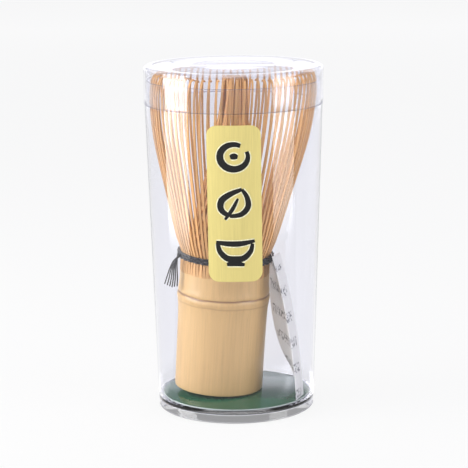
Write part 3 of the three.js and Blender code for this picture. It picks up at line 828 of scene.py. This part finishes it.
class TEAWHISK_OT_label(bpy.types.Operator):
    """Cut the gold label to the case's curve and print its plain marks"""

    bl_idname = "tea_whisk.label"
    bl_label = "Gold Label"

    def execute(self, context):
        case, label = context.scene.tea_case, context.scene.tea_label
        centre = (label.foot + label.top) / 2

        def place(vertex, height, lift):
            sideways = vertex.co.x + LABEL_TILT * (height - centre)
            vertex.co = on_wall(case, sideways, height, lift)

        bm = bmesh.new()
        half_wide, half_high = label.width / 2, (label.top - label.foot) / 2
        grid = bmesh.ops.create_grid(bm, x_segments=1, y_segments=1, size=1)["verts"]
        upright = Matrix.Rotation(math.pi / 2, 4, "X")
        sized = Matrix.Diagonal((half_wide, half_high, 1, 1))
        bmesh.ops.transform(bm, matrix=upright @ sized, verts=grid)
        bmesh.ops.bevel(
            bm, geom=list(bm.verts), offset=label.corner, segments=8, profile=0.5,
            affect="VERTICES", material=-1)
        columns, rows = 16, 6
        for i in range(1, columns):
            slice_across(bm, (half_wide * (2 * i / columns - 1), 0, 0), (1, 0, 0))
        for i in range(1, rows):
            slice_across(bm, (0, 0, half_high * (2 * i / rows - 1)), (0, 0, 1))
        for vertex in bm.verts:
            place(vertex, centre + vertex.co.z, FOIL_LIFT)
        bmesh.ops.recalc_face_normals(bm, faces=bm.faces)
        if sum(face.normal.y for face in bm.faces) > 0:
            bmesh.ops.reverse_faces(bm, faces=bm.faces)
        bmesh.ops.solidify(bm, geom=bm.faces[:], thickness=FOIL_THICKNESS)
        bmesh.ops.recalc_face_normals(bm, faces=bm.faces)
        for number, strokes in enumerate(brush_marks()):
            middle_height = centre + (1 - number) * MARK_SPACING + MARK_RISE
            for layer, lift, extra in PRINT_LAYERS:
                for points, width in strokes:
                    path = smooth_path(points, 4 * len(points))
                    count = len(path)
                    widths = []
                    for i in range(count):
                        swell = math.sin(math.pi * (0.12 + 0.8 * i / (count - 1)))
                        widths.append((width * (0.35 + 0.65 * swell) + extra) * MM)
                    known = len(bm.verts)
                    add_ribbon(bm, [point * MM for point in path], widths, layer)
                    bm.verts.ensure_lookup_table()
                    for vertex in bm.verts[known:]:
                        height = middle_height + vertex.co.z
                        place(vertex, height, FOIL_LIFT + FOIL_THICKNESS + lift)
        bm.normal_update()
        for face in bm.faces:
            if face.material_index and face.normal.y > 0:
                face.normal_flip()
        foil = brushed_foil(label.gold)
        halo = printed_ink("pale_outline", (0.80, 0.76, 0.50), 0.5)
        ink = printed_ink("black_ink", (0.006, 0.006, 0.006), 0.9)
        finish_piece("label", bm, [foil, halo, ink], "case", ["front_label"])
        return {"FINISHED"}


# How far the left page's back edge bows towards the handle in millimetres, from foot to top
BOW_TOWARDS_HANDLE = (0.0, 3.0, 5.8, 7.2, 7.6, 7.2, 6.4, 5.2, 4.2)
FOLD_BOW = 1.5 * MM
# The plan direction in which each page runs back from the fold
LEFT_HEADING = math.radians(83.2)
RIGHT_HEADING = math.radians(70)


class TEAWHISK_OT_leaflet(bpy.types.Operator):
    """Fold the printed leaflet and bow its page towards the handle"""

    bl_idname = "tea_whisk.leaflet"
    bl_label = "Leaflet"

    def execute(self, context):
        sheet = context.scene.tea_leaflet
        points = corners("leaflet")
        low, high, near = foot_of("leaflet"), top_of("leaflet"), 0.1 * MM
        foot = min((p for p in points if p.z < low + near), key=lambda p: p.y)
        top = min((p for p in points if p.z > high - near), key=lambda p: p.y)
        left = Vector((math.cos(LEFT_HEADING), math.sin(LEFT_HEADING)))
        right = Vector((math.cos(RIGHT_HEADING), math.sin(RIGHT_HEADING)))
        total = sheet.left_page + sheet.right_page
        columns, rows = 30, 28
        bow = smooth_path([Vector((lean, 0)) for lean in BOW_TOWARDS_HANDLE], rows + 1)
        bm = bmesh.new()
        grid = bmesh.ops.create_grid(bm, x_segments=columns, y_segments=rows, size=0.5)["verts"]
        page = bm.loops.layers.uv.new("page")
        for face in bm.faces:
            for loop in face.loops:
                loop[page].uv = (loop.vert.co.x + 0.5, loop.vert.co.y + 0.5)
        for vertex in grid:
            across = (vertex.co.x + 0.5) * total - sheet.right_page
            along = vertex.co.y + 0.5
            fold = foot.lerp(top, along)
            fold.x += FOLD_BOW * math.sin(math.pi * along) ** 0.8
            if across < 0:
                place = fold.xy + right * -across
            else:
                back = across / sheet.left_page
                place = fold.xy + left * across
                place.x -= bow[round(along * rows)].x * MM * back ** 1.3
            vertex.co = Vector((place.x, place.y, fold.z))
        bmesh.ops.recalc_face_normals(bm, faces=bm.faces)
        bmesh.ops.solidify(bm, geom=bm.faces[:], thickness=0.14 * MM)
        bmesh.ops.recalc_face_normals(bm, faces=bm.faces)
        paper = printed_paper(sheet.paper)
        finish_piece("leaflet_sheet", bm, [paper], "leaflet", ["leaflet"])
        return {"FINISHED"}


# Skin of the culm in millimetres: how far inside its full radius, at a height from its foot
CULM_TAPER = ((0.2, 2.0), (0.18, 8.0), (0.12, 16.0), (0.06, 22.0), (0.0, 27.0))
# The same round its node, at a height from the node
NODE_SKIN = (
    (-0.12, -5.2), (-0.30, -3.9), (-0.42, -3.2), (-0.46, -2.6), (-0.60, -1.9), (-0.66, -1.2),
    (-0.56, -0.55), (-0.22, -0.1), (-0.16, 0.2), (-0.34, 0.6), (-0.38, 1.1), (-0.22, 2.2),
    (-0.05, 3.6), (-0.02, 5.6),
)


class TEAWHISK_OT_handle(bpy.types.Operator):
    """Turn the uncut culm, with its node and hollow ends"""

    bl_idname = "tea_whisk.handle"
    bl_label = "Bamboo Handle"

    def execute(self, context):
        whisk = context.scene.tea_whisk
        radius, node = whisk.handle_radius, whisk.node_height
        inside = radius - whisk.handle_wall
        foot, top = radius - 0.2 * MM, whisk.split_height
        bm = bmesh.new()
        outline = [(inside, 0), (foot, 0)]
        outline += [(radius - drop * MM, height * MM) for drop, height in CULM_TAPER]
        outline += [(radius - drop * MM, node + rise * MM) for drop, rise in NODE_SKIN]
        outline += [
            (radius, top),
            (inside, top),
            (inside, node + 1.2 * MM),
            (inside - 1.5 * MM, node),
            (0, node - 0.4 * MM),
            (0, node - 3.0 * MM),
            (inside - 1.5 * MM, node - 3.4 * MM),
            (inside, node - 4.6 * MM),
        ]
        turn_outline(bm, outline, CULM_STEPS)
        round_ring(bm, foot, 0, 0.5 * MM, 4)
        round_ring(bm, inside, 0, 0.3 * MM, 2)
        grain = bm.verts.layers.float_vector.new("grain")
        for vertex in bm.verts:
            vertex[grain] = vertex.co
            angle = math.atan2(vertex.co.y, vertex.co.x)
            if vertex.co.xy.length > inside + 1 * MM:
                wave = 0.05 * math.sin(3 * angle + 0.7) + 0.04 * math.sin(5 * angle + 2)
                vertex.co.xy *= 1 + wave * MM / radius
                if abs(vertex.co.z - node) < 2.5 * MM:
                    vertex.co.z += 0.35 * MM * math.sin(angle + 0.4) + 0.12 * MM * math.sin(4 * angle)
        bmesh.ops.transform(bm, matrix=WHISK_AXIS, verts=bm.verts)
        finish_piece("culm", bm, [bamboo_skin(whisk.bamboo, node)], "whisk",
                     ["handle"], sharp=50)
        return {"FINISHED"}


# An outer tine above the thread: share of the height up to its widest, share of the spread
FLARE = (
    (0.11, 0.145), (0.27, 0.33), (0.43, 0.505), (0.58, 0.675), (0.74, 0.84), (0.88, 0.94), (1.0, 0.988))
# Its curled tip in millimetres: inwards from the crown, below the tip
CURL = ((1.1, 1.1), (2.3, 0.25), (3.5, 0.9))
# An inner tine: share of its height, share of the way in to the bundle
GATHER = ((0, 0), (0.10, 0.04), (0.25, 0.22), (0.45, 0.52), (0.65, 0.78), (0.82, 0.95), (0.93, 1.0))


def lean_of_tips(radius, heading):
    """How much further up its axis a tine reaches so that all tips end at one level."""
    up = WHISK_AXIS.to_3x3() @ Vector((0, 0, 1))
    towards = TO_WHISK.to_3x3() @ Vector((up.x, up.y, 0))
    facing = heading - math.atan2(towards.y, towards.x)
    return radius * up.xy.length / up.z * math.cos(facing)


class TEAWHISK_OT_outer_tines(bpy.types.Operator):
    """Lay the outer tines, which flare to the crown and curl in at their tips"""

    bl_idname = "tea_whisk.outer_tines"
    bl_label = "Outer Tines"

    def execute(self, context):
        whisk = context.scene.tea_whisk
        dice = random.Random(41)
        bm = bmesh.new()
        grain = bm.verts.layers.float_vector.new("grain")
        tone = bm.verts.layers.float.new("tone")
        thickness = 0.55 * MM
        root = whisk.handle_radius - thickness / 2
        pitch = 2 * math.pi / whisk.outer_count
        for i in range(whisk.outer_count):
            place = pitch * (i + 0.5)
            edge = whisk.crown_radius - thickness / 2 - dice.uniform(0, 0.5) * MM
            tip = whisk.whisk_length + lean_of_tips(edge, place) - dice.uniform(0, 0.6) * MM
            widest = tip - 10 * MM
            rise = widest - whisk.band_height
            curl = dice.uniform(0.85, 1.25)
            knots = [
                (root, whisk.split_height - 0.3 * MM),
                (root, whisk.band_height - 1.4 * MM),
                (root, whisk.band_height + 1.0 * MM),
            ]
            knots += [
                (root + (edge - root) * spread, whisk.band_height + rise * share)
                for share, spread in FLARE
            ]
            knots += [(edge, widest + 3.0 * MM), (edge - 0.35 * MM, tip - 3.2 * MM)]
            knots += [(edge - inwards * MM * curl, tip - below * MM) for inwards, below in CURL]
            path = smooth_path([Vector(knot) for knot in knots], 30)
            sway = dice.uniform(-0.16, 0.16) * pitch
            drift = dice.uniform(-0.12, 0.12) * pitch

            def heading(along, place=place, sway=sway, drift=drift):
                return place + sway * along ** 2 + drift * math.sin(math.pi * along)

            full, slim = 1.395 * MM, dice.uniform(0.9, 1.12) * MM

            def width(along, full=full, slim=slim):
                return slim + (full - slim) * max(0.0, 1 - along / 0.06)

            lay_tine(bm, grain, tone, path, heading, width, thickness, 0.62, dice.random())
        for vertex in bm.verts:
            rise = max(0.0, vertex.co.z - whisk.band_height) / (whisk.whisk_length - whisk.band_height)
            vertex.co.x -= 0.5 * MM * rise
        bmesh.ops.transform(bm, matrix=WHISK_AXIS, verts=bm.verts)
        # The outer tines get a light painted shade at their roots
        finish = split_bamboo("outer_bamboo", whisk.tines, (0.86, 0.90, 0.98))
        finish_piece("outer_tine_crown", bm, [finish], "whisk", ["outer_tines"])
        return {"FINISHED"}


class TEAWHISK_OT_inner_tines(bpy.types.Operator):
    """Lay the inner tines, which gather in a twisted bundle in the middle"""

    bl_idname = "tea_whisk.inner_tines"
    bl_label = "Inner Tines"

    def execute(self, context):
        whisk = context.scene.tea_whisk
        dice = random.Random(17)
        bm = bmesh.new()
        grain = bm.verts.layers.float_vector.new("grain")
        tone = bm.verts.layers.float.new("tone")
        turn_outline(bm, [
            (12.4 * MM, whisk.split_height + 1.0 * MM),
            (15.0 * MM, whisk.split_height + 1.0 * MM),
            (15.0 * MM, whisk.split_height + 4.4 * MM),
            (12.4 * MM, whisk.split_height + 4.4 * MM),
        ], ROOT_STEPS)
        root = 13.7 * MM
        for i in range(whisk.inner_count):
            place = 2 * math.pi * i / whisk.inner_count
            bundle = dice.uniform(2.6, 5.2) * MM
            tip = whisk.whisk_length + lean_of_tips(bundle, place) - dice.uniform(1.2, 3.0) * MM
            start = whisk.split_height + 3 * MM
            rise = tip - start
            knots = [
                (root + (bundle - root) * gather, start + rise * share)
                for share, gather in GATHER
            ]
            knots += [(bundle - 0.2 * MM, tip - 1.5 * MM), (bundle - 1.3 * MM, tip)]
            path = smooth_path([Vector(knot) for knot in knots], 16)
            twist = dice.uniform(-0.5, 0.5)

            def heading(along, place=place, twist=twist):
                return place + twist * along ** 1.5

            def width(along):
                return 0.85 * MM

            lay_tine(bm, grain, tone, path, heading, width, 0.45 * MM, 0.6, dice.random())
        bmesh.ops.transform(bm, matrix=WHISK_AXIS, verts=bm.verts)
        # The inner bundle and its root ring get the darkest painted shade
        finish = split_bamboo("inner_bamboo", scaled(whisk.tines, 0.95), (0.66, 0.6, 0.54))
        finish_piece("inner_tine_bundle", bm, [finish], "whisk", ["inner_tines"])
        return {"FINISHED"}


class TEAWHISK_OT_thread(bpy.types.Operator):
    """Wind the black thread round the tines' roots"""

    bl_idname = "tea_whisk.thread"
    bl_label = "Thread Band"

    def execute(self, context):
        whisk = context.scene.tea_whisk
        turns = 3
        pitch = (BAND_HIGH - BAND_LOW) / turns
        centre = (BAND_INSIDE + BAND_OUTSIDE) / 2
        bm = bmesh.new()
        for turn in range(turns):
            known = len(bm.verts)
            height = BAND_LOW + (turn + 0.5) * pitch
            place = Matrix.Translation((centre, 0, height)) @ Matrix.Rotation(math.pi / 2, 4, "X")
            ring = bmesh.ops.create_circle(
                bm, cap_ends=False, radius=pitch * 0.52, segments=8, matrix=place)["verts"]
            edges = list({edge for vertex in ring for edge in vertex.link_edges})
            bmesh.ops.spin(
                bm, geom=ring + edges, cent=(0, 0, 0), axis=(0, 0, 1),
                angle=2 * math.pi, steps=THREAD_STEPS, use_merge=True)
            bm.verts.ensure_lookup_table()
            for vertex in bm.verts[known:]:
                angle = math.atan2(vertex.co.y, vertex.co.x)
                weave = math.sin(whisk.outer_count / 2 * angle + math.pi * turn)
                radius = vertex.co.xy.length
                vertex.co.xy *= 1 + 0.28 * MM * weave / radius
                vertex.co.z += 0.10 * MM * math.sin(2 * angle + turn)
        bmesh.ops.remove_doubles(bm, verts=bm.verts, dist=WELD)
        bmesh.ops.recalc_face_normals(bm, faces=bm.faces)
        bmesh.ops.transform(bm, matrix=WHISK_AXIS, verts=bm.verts)
        finish_piece("thread_band", bm, [twisted_thread(whisk.thread)], "whisk",
                     ["binding_thread"], sharp=80)
        return {"FINISHED"}


class TEAWHISK_OT_thread_tail(bpy.types.Operator):
    """Let the thread's knot and loose strands hang from the band"""

    bl_idname = "tea_whisk.thread_tail"
    bl_label = "Thread Tail"

    def execute(self, context):
        whisk = context.scene.tea_whisk
        low, _, _, far = whisk_span("thread_tail")
        dice = random.Random(8)
        bm = bmesh.new()
        knot_reach = BAND_OUTSIDE + 0.5 * MM
        knot = bmesh.ops.create_icosphere(
            bm, subdivisions=2, radius=0.8 * MM,
            matrix=Matrix.Translation((knot_reach, 0, whisk.band_height)))["verts"]
        for vertex in knot:
            vertex.co += Vector([dice.uniform(-0.1, 0.1) * MM for _ in range(3)])
        splay = far - knot_reach
        count = 6
        for i in range(count):
            spread = i / (count - 1)
            out = splay * (0.15 + 0.8 * spread)
            side = 3.0 * MM * (0.5 - spread) + dice.uniform(-0.3, 0.3) * MM
            drop = (whisk.band_height - low) * (1 - 0.12 * abs(spread - 0.4)) - 0.3 * MM
            start = whisk.band_height + (0.7 - 1.4 * spread) * MM
            points = [Vector(p) for p in (
                (knot_reach - 0.2 * MM, 0.1 * side, start),
                (knot_reach + 0.30 * out + 0.5 * MM, 0.25 * side, start - 0.12 * drop),
                (knot_reach + 0.62 * out + 0.4 * MM, 0.5 * side, start - 0.42 * drop),
                (knot_reach + 0.85 * out, 0.8 * side, whisk.band_height - 0.74 * drop),
                (knot_reach + out, side, whisk.band_height - drop),
            )]
            lay_strand(bm, smooth_path(points, 14), 0.24 * MM)
        bmesh.ops.recalc_face_normals(bm, faces=bm.faces)
        turn = Matrix.Rotation(math.radians(200), 4, "Z")
        bmesh.ops.transform(bm, matrix=WHISK_AXIS @ turn, verts=bm.verts)
        finish_piece("thread_end", bm, [twisted_thread(whisk.thread)], "whisk",
                     ["thread_tail"], sharp=60)
        return {"FINISHED"}


# ---------- Stage ----------

# The camera: its lens and place in millimetres, its look down and its roll in degrees
CAMERA_LENS = 145.5
CAMERA_PLACE = Vector((-0.31, -670.5, 198.9))
CAMERA_DOWN = 11.464
CAMERA_ROLL = -0.575


def axes_of(tree, kind):
    """The three axes of the shaded point in one kind of coordinates."""
    return split_axes(tree, tree.nodes.new("ShaderNodeTexCoord").outputs[kind])


def light_card(name, place, target, width, height, radiance, shade=(1, 1, 1), fade=0.0):
    """A glowing card that faces a point; its lower edge may fade out."""
    bm = bmesh.new()
    bmesh.ops.create_grid(bm, x_segments=1, y_segments=1, size=0.5)
    bmesh.ops.transform(bm, matrix=Matrix.Diagonal((width, height, 1, 1)), verts=bm.verts)
    mesh = bpy.data.meshes.new(name)
    bm.to_mesh(mesh)
    bm.free()
    material, tree, shader = new_finish(name)
    tree.nodes.remove(shader)
    glow = add_node(tree, "ShaderNodeEmission", Color=(*shade, 1))
    from_foot = calculate(tree, "ADD", axes_of(tree, "Object")["Y"], height / 2)
    up = calculate(tree, "DIVIDE", from_foot, height)
    ramp = add_ramp(tree, up, [(0.0, (1 - fade,) * 3), (0.12, (1, 1, 1))])
    strength = calculate(tree, "MULTIPLY", ramp, radiance)
    tree.links.new(strength, glow.inputs["Strength"])
    tree.links.new(glow.outputs[0], tree.nodes["Material Output"].inputs["Surface"])
    mesh.materials.append(material)
    card = bpy.data.objects.new(name, mesh)
    aim = (Vector(target) - Vector(place)).to_track_quat("Z", "Y")
    card.matrix_world = Matrix.Translation(place) @ aim.to_matrix().to_4x4()
    card.visible_camera = False
    bpy.context.scene.collection.objects.link(card)


def pale_room(brightness, surroundings):
    """Surroundings: pale where one looks straight through, dimmer where gloss reflects them."""
    world = bpy.data.worlds.new("pale_room")
    world.use_nodes = True
    tree = world.node_tree
    background = tree.nodes["Background"]
    low = calculate(tree, "LESS_THAN", axes_of(tree, "Generated")["Z"], 0.12)
    passing = tree.nodes.new("ShaderNodeLightPath").outputs
    through = calculate(tree, "MULTIPLY", low, passing["Is Transmission Ray"])
    straight = calculate(tree, "MAXIMUM", passing["Is Camera Ray"], through)
    shade = mix_colour(tree, straight, surroundings, (brightness,) * 3)
    tree.links.new(shade, background.inputs["Color"])
    return world


class TEAWHISK_OT_stage(bpy.types.Operator):
    """Set the pale floor, the soft lamps, the surroundings and the camera"""

    bl_idname = "tea_whisk.stage"
    bl_label = "Stage"

    def execute(self, context):
        scene = context.scene
        stage = scene.tea_stage
        bm = bmesh.new()
        bmesh.ops.create_grid(bm, x_segments=2, y_segments=2, size=6)
        mesh = bpy.data.meshes.new("floor")
        bm.to_mesh(mesh)
        bm.free()
        material, tree, shader = new_finish("pale_floor")
        set_inputs(shader, Base_Color=(0.9, 0.9, 0.9, 1), Roughness=0.9, Specular_IOR_Level=0.0)
        glow = add_node(tree, "ShaderNodeEmission", Color=(1, 1, 1, 1))
        in_front = calculate(tree, "LESS_THAN", axes_of(tree, "Object")["Y"], 0.0)
        glossy = tree.nodes.new("ShaderNodeLightPath").outputs["Is Glossy Ray"]
        dimmed = calculate(tree, "MULTIPLY", calculate(tree, "MULTIPLY", in_front, glossy), 0.55)
        share = calculate(tree, "SUBTRACT", 1.0, dimmed)
        strength = calculate(tree, "MULTIPLY", share, stage.brightness)
        tree.links.new(strength, glow.inputs["Strength"])
        show_mix(tree, 0.93, shader, glow)
        mesh.materials.append(material)
        floor = bpy.data.objects.new("floor", mesh)
        scene.collection.objects.link(floor)
        scene.world = pale_room(stage.brightness, stage.surroundings)

        middle_point = (0, 0, 60 * MM)
        light_card("left_softbox", (-0.50, -0.09, 0.21), middle_point, 0.36, 0.44, 9.0, fade=0.9)
        light_card("right_softbox", (0.55, -0.24, 0.24), middle_point, 0.36, 0.46, 5.4, fade=0.9)
        light_card(
            "back_panel", (0.0, 1.5, 0.21), (0, 1.0, 0.21), 2.4, 0.42, 1.42, (0.95, 0.95, 1.0))
        light_card("front_fill", (-0.45, -0.9, 0.7), middle_point, 1.1, 0.7, 2.6)

        scene.view_settings.view_transform = "Standard"
        scene.cycles.max_bounces = 24
        scene.cycles.transmission_bounces = 24
        scene.cycles.transparent_max_bounces = 32
        scene.cycles.glossy_bounces = 8
        scene.cycles.caustics_reflective = False
        scene.cycles.caustics_refractive = False

        camera = bpy.data.cameras.new("camera")
        camera.lens = CAMERA_LENS
        camera.sensor_width = 36
        holder = bpy.data.objects.new("camera", camera)
        tilt = Matrix.Rotation(math.radians(90 - CAMERA_DOWN), 4, "X")
        roll = Matrix.Rotation(math.radians(CAMERA_ROLL), 4, "Z")
        place = Matrix.Translation(CAMERA_PLACE * MM)
        holder.matrix_world = place @ tilt @ roll
        scene.collection.objects.link(holder)
        scene.camera = holder
        return {"FINISHED"}


# ---------- Panel, registration and the run ----------

PIECE_OPERATORS = (
    TEAWHISK_OT_stage,
    TEAWHISK_OT_case_tube,
    TEAWHISK_OT_case_lid,
    TEAWHISK_OT_base_disc,
    TEAWHISK_OT_label,
    TEAWHISK_OT_leaflet,
    TEAWHISK_OT_handle,
    TEAWHISK_OT_outer_tines,
    TEAWHISK_OT_inner_tines,
    TEAWHISK_OT_thread,
    TEAWHISK_OT_thread_tail,
)


class TEAWHISK_PT_panel(bpy.types.Panel):
    """Lists every piece of the whisk and its case"""

    bl_idname = "TEAWHISK_PT_panel"
    bl_label = "Tea Whisk"
    bl_space_type = "VIEW_3D"
    bl_region_type = "UI"
    bl_category = "Tea Whisk"

    def draw(self, context):
        for operator in PIECE_OPERATORS:
            self.layout.operator(operator.bl_idname)


SETTINGS = {
    "tea_case": CaseSettings,
    "tea_disc": DiscSettings,
    "tea_label": LabelSettings,
    "tea_leaflet": LeafletSettings,
    "tea_whisk": WhiskSettings,
    "tea_stage": StageSettings,
}


def register():
    for name, group in SETTINGS.items():
        bpy.utils.register_class(group)
        setattr(bpy.types.Scene, name, PointerProperty(type=group))
    for operator in PIECE_OPERATORS:
        bpy.utils.register_class(operator)
    bpy.utils.register_class(TEAWHISK_PT_panel)


def unregister():
    bpy.utils.unregister_class(TEAWHISK_PT_panel)
    for operator in reversed(PIECE_OPERATORS):
        bpy.utils.unregister_class(operator)
    for name, group in reversed(SETTINGS.items()):
        delattr(bpy.types.Scene, name)
        bpy.utils.unregister_class(group)


def main():
    register()
    for operator in PIECE_OPERATORS:
        group, name = operator.bl_idname.split(".")
        getattr(getattr(bpy.ops, group), name)()


if __name__ == "__main__":
    main()
